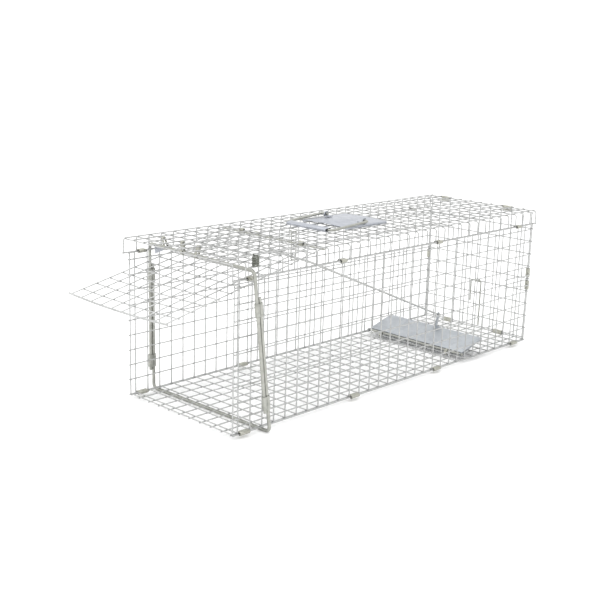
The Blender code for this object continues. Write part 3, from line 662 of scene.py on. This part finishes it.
hinge_line = [(x, 0, 0) for x in (-DOOR_TIP, DOOR_TIP)]
round_bar("door_hinge_bar", hinge_line, PIN_RADIUS, DOOR_PLACE, "door", ROUND_BAR, nodes=["door_hinge_wire"])
end_line = []
for k in range(-8, 9):
    lift = door_lift(DOOR_TIP * k / 8, -DOOR_LENGTH)
    end_line.append((DOOR_TIP * k / 8, -DOOR_LENGTH + 0.06 + lift * tan(radians(DOOR_OPEN)), lift))
round_bar("door_end_bar", end_line, PIN_RADIUS, DOOR_PLACE, "door", MESH_WIRE, nodes=["door_end_wire"])


def leg_y(side, z):
    up = (z - HOOP_FOOT_Z) / (HOOP_BAR_Z[side] - HOOP_FOOT_Z)
    return HOOP_FOOT_Y[side] + (HOOP_TOP_Y[side] - HOOP_FOOT_Y[side]) * up


def upper_bar(x):
    """Middle of the hoop's upper bar, as y and z."""
    along = (x + HOOP_LEG_X) / (2 * HOOP_LEG_X)
    y = HOOP_TOP_Y["far"] + (HOOP_TOP_Y["near"] - HOOP_TOP_Y["far"]) * along - HOOP_OFFSET
    return y, HOOP_BAR_Z["far"] + (HOOP_BAR_Z["near"] - HOOP_BAR_Z["far"]) * along


def hoop_line(end_z, bar_z, offset):
    """A U of bar: from one leg's end, along the cross bar, to the other leg's end."""
    legs = [[(sign * HOOP_LEG_X, leg_y(side, z) + offset, z) for z in (end_z, bar_z[side])] for side,
            sign in (("far", -1), ("near", 1))]
    return legs[0] + legs[1][::-1]


HOOP_FOOT = {"near": HOOP_FOOT_Z + 0.04, "far": HOOP_FOOT_Z + 0.04}
round_bar("hoop_lower_bow", hoop_line(8.35 * SQUARE, HOOP_FOOT, HOOP_OFFSET), HOOP_RADIUS, DATUM, "base",
          ROUND_BAR, HOOP_BEND, 24, nodes=["lower_hoop"])
round_bar("hoop_upper_bow", hoop_line(1.1 * SQUARE, HOOP_BAR_Z, -HOOP_OFFSET), HOOP_RADIUS, DATUM, "base",
          ROUND_BAR, HOOP_BEND, 24, nodes=["upper_hoop"])

axle_line = [(x, 0, 0) for x in (-TREADLE_HALF - 4, TREADLE_HALF + 4)]
round_bar("treadle_axle_bar", axle_line, AXLE_RADIUS, TREADLE_PLACE, "treadle", ROUND_BAR,
          nodes=["treadle_axle"])

ROD_LINE = [(174.8, 252.6), (180.0, 250.0), (182.5, 244.5), (190.0, 239.5), (200.2, 235.5), (230.6, 224.5),
            (281.0, 207.5), (EYE_Y, EYE_Z)]
rod_path = [(0, y - EYE_Y, z - EYE_Z) for y, z in ROD_LINE] + [(12.0, 0, 0)]
round_bar("trigger_rod_bar", rod_path, ROD_RADIUS, ROD_PLACE, "trigger_rod", ROD_STEEL, 4.0,
          nodes=["trigger_rod"])

GUIDE_Y = 9.3 * SQUARE + CAD_HALF_WIRE + 1.6
GUIDE_TOP = ROOF_Z + CAD_HALF_WIRE + 1.6
guide = [(-GUIDE_HALF, GUIDE_Y - 6.5, GUIDE_TOP), (-GUIDE_HALF, GUIDE_Y, GUIDE_TOP),
         (-GUIDE_HALF, GUIDE_Y, GUIDE_LOW_Z)]
guide += [(GUIDE_HALF, y, z) for _, y, z in reversed(guide)]
round_bar("rod_guide_loop", guide, 1.1, DATUM, "base", ROUND_BAR, 2.5, 12, nodes=["trigger_rod_guide"])

bail = [(41.0, 0, 0), (BAIL_HALF, 0, 0), (BAIL_HALF, -BAIL_ARM, 0)]
bail += [(-x, y, z) for x, y, z in reversed(bail)]
round_bar("handle_bail_bar", bail, BAIL_RADIUS, HANDLE_PLACE, "handle", ROUND_BAR, 6.0, nodes=["handle_bail"])

TIE_X = SIDE_X + CAD_HALF_WIRE + 0.5 + 1.4
for number, start_z, end_z in ((1, 137.6, 136.2), (2, 121.0, 115.5)):
    tie = [(TIE_X, 698.0 + 87.0 * k / 6, start_z + (end_z - start_z) * k / 6 + 0.8 * sin(pi * k / 3))
           for k in range(7)]
    round_bar(f"rear_tie_{number}", tie, 1.2, DATUM, "base", MESH_WIRE, sides=12,
              slot="galvanised_mesh_wire", nodes=[f"rear_tie_wire_{number}"])

HOOK_Y = LENGTH - CAD_HALF_WIRE - 4.0
hook = [(-6.4, HOOK_Y, 58.0), (-6.4, HOOK_Y, HOOK_TOP_Z), (18.0, HOOK_Y, HOOK_TOP_Z), (18.0, HOOK_Y, 9.0)]
round_bar("bait_hook_bar", hook, 1.5, DATUM, "base", ROUND_BAR, 4.0, 14, nodes=["bait_hook"])


def spring_line(x, y, low, turns, pitch, radius):
    """Close-wound coil with a short straight tail at each end."""
    steps = 18
    path = [(x - radius, y, low - 2.2)]
    for k in range(turns * steps + 1):
        angle = pi + 2 * pi * k / steps
        path.append((x + radius * cos(angle), y + radius * sin(angle), low + pitch * k / steps))
    path.append((x - radius, y, low + pitch * turns + 2.2))
    return path


coil = spring_line(HOOP_LEG_X - 1.6, HOOP_TOP_Y["near"], HOOP_BAR_Z["near"] + 6.5, 6, 2.6, 4.6)
round_bar("hoop_spring_coil", coil, 1.1, DATUM, "base", SPRING_STEEL, sides=10, slot="spring_steel",
          nodes=["hoop_spring"])


# ---------------------------------------------------------------- crimped clips and sleeves
# A strap or a blank is drawn in its own x-y plane and then turned, so that its z runs along the named axis.
TURNED = {
    "x": Matrix(((0, 0, 1, 0), (1, 0, 0, 0), (0, 1, 0, 0), (0, 0, 0, 1))),
    "y": Matrix(((1, 0, 0, 0), (0, 0, -1, 0), (0, 1, 0, 0), (0, 0, 0, 1))),
    "z": Matrix.Identity(4),
}


def strap_line(first, second, r_first, r_second, seam=0.7, pinch=0.22):
    """Line of a strap wrapped round two wires: it starts at a seam, and both flats are nipped in."""
    away = atan2(second[1] - first[1], second[0] - first[0])
    apart = hypot(second[0] - first[0], second[1] - first[1])
    lean = pi / 2 - atan2(r_second - r_first, apart)
    ring = []
    for centre, radius, start in ((second, r_second, -(pi - lean)), (first, r_first, pi - lean)):
        sweep = 2 * (pi - lean) if centre is second else 2 * pi - 2 * (pi - lean)
        for k in range(13):
            angle = away + start + sweep * k / 12
            ring.append(Vector((centre[0] + radius * cos(angle), centre[1] + radius * sin(angle))))
    middle = Vector(((first[0] + second[0]) / 2, (first[1] + second[1]) / 2))
    flat_low = (ring[0] + ring[-1]) / 2
    flat_high = (ring[12] + ring[13]) / 2
    nip = pinch * min(r_first, r_second)
    flat_low += (middle - flat_low).normalized() * nip
    flat_high += (middle - flat_high).normalized() * nip
    along = (ring[0] - ring[-1]).normalized()
    line = [flat_low + along * seam / 2, *ring[:13], flat_high, *ring[13:], flat_low - along * seam / 2]
    return [(p.x, p.y, 0.0) for p in line]


def crimped_clip(name, node, first, second, axis, along, length, bores=(CLIP_BORE, CLIP_BORE),
                 wall=CLIP_WALL, place=DATUM, body="base", finish=None):
    """Strap closed round two neighbouring wires that run along axis."""
    line = strap_line(first, second, bores[0] + wall / 2, bores[1] + wall / 2)
    solid = grown(line_mesh(name, [line]), CRIMPED_STRAP, finish or CLIP_STEEL, Strap_Width=length * MM,
                  Wall=wall * MM)
    offset = {"x": (along, 0, 0), "y": (0, along, 0), "z": (0, 0, along)}[axis]
    here = place @ Matrix.Translation(Vector(offset) * MM) @ TURNED[axis]
    return keep(name, solid, here, body, "clip_steel", node)


HINGE_AT = (HINGE_Y, HINGE_Z)
for side, sign in (("near", 1), ("far", -1)):
    crimped_clip(f"door_hinge_band_{side}", f"door_hinge_clip_{side}", HINGE_AT, (HINGE_Y, ROOF_Z), "x",
                 sign * 2.75 * SQUARE, 9.0)
    floor_wire = (23 * SQUARE, STEP)
    crimped_clip(f"treadle_bearing_{side}", f"treadle_foot_{side}", floor_wire, (AXLE_Y, AXLE_Z), "x",
                 sign * TREADLE_FOOT_X, 5.0,
                 bores=(CLIP_BORE, AXLE_RADIUS + 0.5), wall=1.1)
    hem_at = {"near": (0.65, 8.65, 18.65, 28.65), "far": (0.65, 10.65, 20.65, 28.65)}[side]
    foot_at = {"near": (0.5, 10.5, 19.5, 29.5), "far": (0.5, 9.5, 24.5)}[side]
    edge_at = {"near": (4.5, 5.5), "far": (5.5,)}[side]
    for number, cell in enumerate(hem_at, 1):
        ends = ((sign * SIDE_X, SIDE_TOP_Z), (sign * HEM_WIRE_X, SIDE_TOP_Z))
        crimped_clip(f"hem_band_{side}_{number}", f"hem_clip_{side}_{number}", *ends, "y", cell * SQUARE,
                     0.54 * SQUARE)
    for number, cell in enumerate(foot_at, 1):
        ends = ((sign * FLOOR_EDGE_X, 0.0), (sign * SIDE_X, 0.0))
        crimped_clip(f"floor_band_{side}_{number}", f"floor_clip_{side}_{number}", *ends, "y", cell * SQUARE,
                     0.8 * SQUARE)
    for number, cell in enumerate(edge_at, 1):
        ends = ((sign * FLOOR_EDGE_X, LENGTH), (sign * SIDE_UPRIGHT_X, LENGTH))
        crimped_clip(f"rear_edge_band_{side}_{number}", f"rear_edge_clip_{side}_{number}", *ends, "z",
                     cell * SQUARE, 0.7 * SQUARE)
    crimped_clip(f"rear_foot_band_{side}", f"rear_foot_clip_{side}", (LENGTH, STEP),
                 (REAR_WIRE_Y, REAR_LOW_Z), "x", sign * 2.5 * SQUARE, 0.8 * SQUARE)
for side, cell in (("near", 2.5), ("far", -3.5)):
    crimped_clip(f"rear_top_band_{side}", f"rear_top_clip_{side}", (REAR_WIRE_Y, REAR_TOP_Z),
                 (ROOF_REAR_Y, ROOF_Z), "x", cell * SQUARE, 0.8 * SQUARE)
crimped_clip("bait_hook_band", "bait_hook_clip", (HOOK_Y, HOOK_TOP_Z), (REAR_WIRE_Y, 4 * SQUARE), "x", 7.0,
             6.0)
for number, cell in enumerate((-3.6, -1.73, -0.19), 1):
    crimped_clip(f"hoop_hanger_band_{number}", f"hoop_hanger_{number}", upper_bar(cell * SQUARE),
                 (1.3 * SQUARE, ROOF_Z), "x", cell * SQUARE, 5.0,
                 bores=(HOOP_RADIUS + 0.6, CLIP_BORE))

SLEEVE_BORE = HOOP_RADIUS + 0.45
for side, sign in (("near", 1), ("far", -1)):
    lean = atan2(HOOP_FOOT_Y[side] - HOOP_TOP_Y[side], HOOP_BAR_Z[side] - HOOP_FOOT_Z)
    for level, cell in (("upper", 7.6), ("lower", 1.75)):
        z = cell * SQUARE
        bars = ((sign * HOOP_LEG_X, -HOOP_OFFSET), (sign * HOOP_LEG_X, HOOP_OFFSET))
        here = DATUM @ Matrix.Translation(Vector((0, leg_y(side, z), z)) * MM) @ Matrix.Rotation(lean, 4, "X")
        crimped_clip(f"hoop_band_{side}_{level}", f"hoop_sleeve_{side}_{level}", *bars, "z", 0.0,
                     SLEEVE_LENGTH,
                     bores=(SLEEVE_BORE, SLEEVE_BORE), wall=CLIP_WALL, place=here, finish=SLEEVE_STEEL)


# ---------------------------------------------------------------- sheet metal
def cut_sheet(loops, thickness, axis, at, eased=0.25):
    """Mesh of a flat blank with the given outlines in millimetres, its cut edges eased, laid along an axis."""
    curve = bpy.data.curves.new("blank", "CURVE")
    curve.dimensions = "2D"
    curve.fill_mode = "BOTH"
    curve.bevel_depth = eased * MM
    curve.bevel_resolution = 1
    curve.extrude = (thickness / 2 - eased) * MM
    curve.offset = -eased * MM
    for loop in loops:
        spline = curve.splines.new("POLY")
        spline.points.add(len(loop) - 1)
        for point, (across, up) in zip(spline.points, loop):
            point.co = (across * MM, up * MM, 0, 1)
        spline.use_cyclic_u = True
    blank = bpy.data.objects.new("blank", curve)
    bpy.context.scene.collection.objects.link(blank)
    bpy.context.view_layer.update()
    mesh = bpy.data.meshes.new_from_object(blank.evaluated_get(bpy.context.evaluated_depsgraph_get()))
    bpy.data.objects.remove(blank, do_unlink=True)
    mesh.transform(Matrix.Translation(Vector(at) * MM) @ TURNED[axis])
    return mesh


def sheet_piece(name, blanks, finish, place, body, slot, *nodes, painted_shade_at=None):
    """One piece of several blanks, merged and facing outwards. painted_shade_at(point) says where the sheet is
    darkened with painted shade.
    """
    bm = bmesh.new()
    for blank in blanks:
        bm.from_mesh(blank)
        bpy.data.meshes.remove(blank)
    bmesh.ops.remove_doubles(bm, verts=bm.verts, dist=1e-6)
    bmesh.ops.recalc_face_normals(bm, faces=bm.faces)
    mesh = bpy.data.meshes.new(name)
    bm.to_mesh(mesh)
    bm.free()
    mesh.materials.append(finish)
    # Painted shade: the marked vertices go into the "weld" attribute, which the finish turns darker.
    if painted_shade_at:
        painted_shade_mask = [1.0 if painted_shade_at(vertex.co / MM) else 0.0 for vertex in mesh.vertices]
        mesh.attributes.new("weld", "FLOAT", "POINT").data.foreach_set("value", painted_shade_mask)
    return keep(name, mesh, place, body, slot, *nodes)


def turned_corner(centre, radius, start, end, steps=5):
    return [(centre[0] + radius * cos(start + (end - start) * k / steps),
             centre[1] + radius * sin(start + (end - start) * k / steps)) for k in range(steps + 1)]


def ring(centre, radius, steps=20):
    """Round hole, drawn the other way round from the outline it is cut from."""
    return [(centre[0] + radius * cos(2 * pi * k / steps), centre[1] - radius * sin(2 * pi * k / steps))
            for k in range(steps)]


def thick_line(line, wall):
    """Closed outline of a bent sheet seen from its edge: the line is one face, the wall to its left."""
    points = [Vector(p) for p in line]
    inner = []
    for k, point in enumerate(points):
        before = (point - points[k - 1]).normalized() if k else (points[1] - point).normalized()
        after = (points[k + 1] - point).normalized() if k + 1 < len(points) else before
        mean = (before + after).normalized()
        side = Vector((-mean.y, mean.x))
        inner.append(point + side * (wall / max(side.dot(Vector((-before.y, before.x))), 0.3)))
    return [tuple(p) for p in points] + [tuple(p) for p in reversed(inner)]


# Handle plate: crowned along its middle, with its long edges turned down to the roof wires.
edge_low = ROOF_WIRE_Z + CAD_HALF_WIRE + 0.5
plate_half = turned_corner((PLATE_HALF - 2.2, PLATE_EDGE_Z - 2.2), 2.2, 0, pi / 2 - 0.03)
plate_line = [(PLATE_HALF, edge_low), *plate_half, (3.0, PLATE_CROWN_Z - 0.15), (0.8, PLATE_CROWN_Z)]
plate_line += [(-x, z) for x, z in reversed(plate_line)]
plate = cut_sheet([thick_line(plate_line, 1.2)], 2 * PLATE_HALF_LONG, "y", (0, HANDLE_Y, 0), 0.2)
sheet_piece("handle_guard_plate", [plate], HANDLE_SHEET, DATUM, "base", "zinc_sheet", "handle_plate")

for side, sign in (("near", 1), ("far", -1)):
    crown = turned_corner((0, LUG_CROWN_Z), LUG_CROWN_RADIUS, radians(12), radians(168), 10)
    ear_loop = [(-LUG_HALF, LUG_FOOT_Z), (LUG_HALF, LUG_FOOT_Z), (LUG_HALF, LUG_SHOULDER_Z), *crown,
                (-LUG_HALF, LUG_SHOULDER_Z)]
    ear = cut_sheet([ear_loop, ring((0, HANDLE_Z), BAIL_RADIUS + 0.4)], SHEET, "x",
                    (sign * LUG_X, HANDLE_Y, 0))
    flange_loop = [(FLANGE_IN, -LUG_HALF), (FLANGE_OUT, -LUG_HALF), (FLANGE_OUT, LUG_HALF),
                   (FLANGE_IN, LUG_HALF)]
    flange = cut_sheet([flange_loop], SHEET, "z", (0, HANDLE_Y, FLANGE_Z))
    if sign < 0:
        flange.transform(Matrix.Translation((-(FLANGE_IN + FLANGE_OUT) * MM, 0, 0)))
    sheet_piece(f"handle_ear_{side}", [ear, flange], HANDLE_SHEET, DATUM, "base", "zinc_sheet",
                f"handle_lug_{side}")

# Grip: a strip of sheet rolled flat round the bail, with its seam underneath.
half_thick = GRIP_THICK / 2 - 0.45
core = (GRIP_WIDE - GRIP_THICK) / 2
roll = turned_corner((-BAIL_ARM - core, 0), half_thick, radians(-90), radians(-270), 14)
roll += turned_corner((-BAIL_ARM + core, 0), half_thick, radians(90), radians(-90), 14)
roll = [(-BAIL_ARM - 0.5, -half_thick), *roll, (-BAIL_ARM + 0.5, -half_thick)]
grip_mesh = grown(line_mesh("handle_grip_roll", [[(y, z, 0.0) for y, z in roll]]), CRIMPED_STRAP,
                  HANDLE_SHEET, Strap_Width=GRIP_LONG * MM, Wall=0.9 * MM)
keep("handle_grip_roll", grip_mesh, HANDLE_PLACE @ TURNED["x"], "handle", "zinc_sheet", "handle_grip")

# Treadle: a tray of sheet with a deep front lip, a shallow rear lip and an ear at each end for the axle.
top = TREADLE_TOP
edge = TREADLE_TOP - TREADLE_FLANGE
fold = 1.6
tray = [(TREADLE_FRONT, top - TREADLE_LIP), (TREADLE_FRONT, top - fold)]
tray += turned_corner((TREADLE_FRONT + fold, top - fold), fold, pi, pi / 2)[1:]
tray += turned_corner((TREADLE_REAR - fold, top - fold), fold, pi / 2, 0) + [(TREADLE_REAR, edge)]
tray_sheet = cut_sheet([thick_line(tray[::-1], 1.2)], 2 * TREADLE_HALF, "x", (0, 0, 0), 0.2)
ear_outline = turned_corner((0, 0), EAR_RADIUS, radians(120), radians(300),
                            12) + [(TREADLE_FRONT + 6.0, edge), (TREADLE_REAR - 0.6, edge)]
ear_outline += [(TREADLE_REAR - 0.6, top - 0.7), (TREADLE_FRONT + 0.6, top - 0.7)]
ears = [cut_sheet([ear_outline, ring((0, 0), AXLE_RADIUS + 0.4)], 1.2, "x",
                  (sign * (TREADLE_HALF - 0.75), 0, 0), 0.2) for sign in (-1, 1)]
# The front lip below its fold gets painted shade through the "weld" mark.
sheet_piece("treadle_tray", [tray_sheet, *ears], TREADLE_SHEET, TREADLE_PLACE, "treadle", "zinc_sheet",
            "treadle_plate",
            painted_shade_at=lambda point: point.y < TREADLE_FRONT + fold and point.z < top - 1.2)

tilt = radians(TREADLE_TILT)
EYE_U = (EYE_Y - AXLE_Y) * cos(tilt) + (EYE_Z - AXLE_Z) * sin(tilt)
EYE_W = (EYE_Z - AXLE_Z) * cos(tilt) - (EYE_Y - AXLE_Y) * sin(tilt)
foot = top + 0.5
heel, toe = TREADLE_REAR - 13.0, TREADLE_REAR - 2.0
arm_outline = [(heel + 3.0, foot), (toe, foot),
               *turned_corner((EYE_U, EYE_W), 4.2, radians(-15), radians(195), 12)]
arm = cut_sheet([arm_outline, ring((EYE_U, EYE_W), ROD_RADIUS + 0.4)], SHEET, "x", (7.0, 0, 0))
arm_foot = cut_sheet([[(6.4, heel), (18.0, heel), (18.0, toe), (6.4, toe)]], SHEET, "z",
                     (0, 0, foot + SHEET / 2))
sheet_piece("treadle_lever", [arm, arm_foot], TREADLE_SHEET, TREADLE_PLACE, "treadle", "zinc_sheet",
            "treadle_arm")

gusset_top = upper_bar(-GUSSET_OUT)[1] - HOOP_RADIUS - 0.5
gusset_loop = [(-GUSSET_OUT, gusset_top - 10.2), (-121.6, gusset_top - 11.0), (-96.6, gusset_top - 0.6),
               (-96.4, gusset_top), (-GUSSET_OUT, gusset_top)]
gusset = cut_sheet([gusset_loop], SHEET, "y", (0, upper_bar(-GUSSET_MIDDLE)[0], 0))
sheet_piece("hoop_corner_gusset", [gusset], HANDLE_SHEET, DATUM, "base", "zinc_sheet", "hoop_gusset")


# ---------------------------------------------------------------- studio
def paper_floor():
    """Seamless pale sheet that the trap stands on."""
    mesh = bpy.data.meshes.new("studio_floor")
    mesh.from_pydata([(-12, -12, 0), (12, -12, 0), (12, 12, 0), (-12, 12, 0)], [], [(0, 1, 2, 3)])
    floor_sheet = bpy.data.objects.new("studio_floor", mesh)
    bpy.context.scene.collection.objects.link(floor_sheet)
    paper = bpy.data.materials.new("studio_paper")
    paper.use_nodes = True
    shader = paper.node_tree.nodes["Principled BSDF"]
    shader.inputs["Base Color"].default_value = (0.95, 0.95, 0.95, 1)
    shader.inputs["Roughness"].default_value = 0.9
    shader.inputs["Specular IOR Level"].default_value = 0.1
    mesh.materials.append(paper)


def soft_light(name, place, target, size, power):
    lamp = bpy.data.lights.new(name, "AREA")
    lamp.shape = "RECTANGLE"
    lamp.size, lamp.size_y = size
    lamp.energy = power
    light = bpy.data.objects.new(name, lamp)
    light.location = place
    light.rotation_euler = (Vector(target) - Vector(place)).to_track_quat("-Z", "Y").to_euler()
    bpy.context.scene.collection.objects.link(light)


def studio():
    paper_floor()
    world = bpy.data.worlds.new("studio_room")
    world.use_nodes = True
    room = world.node_tree.nodes["Background"]
    room.inputs["Color"].default_value = (1.0, 1.0, 1.0, 1)
    room.inputs["Strength"].default_value = 1.32
    bpy.context.scene.world = world
    soft_light("overhead_softbox", (0.2, -0.2, 2.6), (0, 0, 0.1), (2.6, 2.2), 26)
    soft_light("left_softbox", (-2.4, -1.6, 1.5), (0, 0, 0.15), (1.6, 1.6), 6)


def camera(azimuth, elevation, roll, place, lens):
    """Camera that looks down the given direction: azimuth from +Y towards +X, then rolled."""
    az, el, ro = radians(azimuth), radians(elevation), radians(roll)
    forward = Vector((sin(az) * cos(el), cos(az) * cos(el), -sin(el)))
    right = Vector((cos(az), -sin(az), 0))
    up = right.cross(forward)
    across = right * cos(ro) + up * sin(ro)
    above = up * cos(ro) - right * sin(ro)
    data = bpy.data.cameras.new("studio_camera")
    data.lens = lens
    data.sensor_width = 36
    data.clip_start = 0.01
    view = bpy.data.objects.new("studio_camera", data)
    turn = Matrix((across, above, -forward)).transposed().to_4x4()
    view.matrix_world = Matrix.Translation(place) @ turn
    bpy.context.scene.collection.objects.link(view)
    bpy.context.scene.camera = view


studio()
bpy.context.scene.view_settings.view_transform = "Standard"
camera(-43.76, 14.1, 1.69, (1.2153, -1.3410, 0.5924), 62.82)
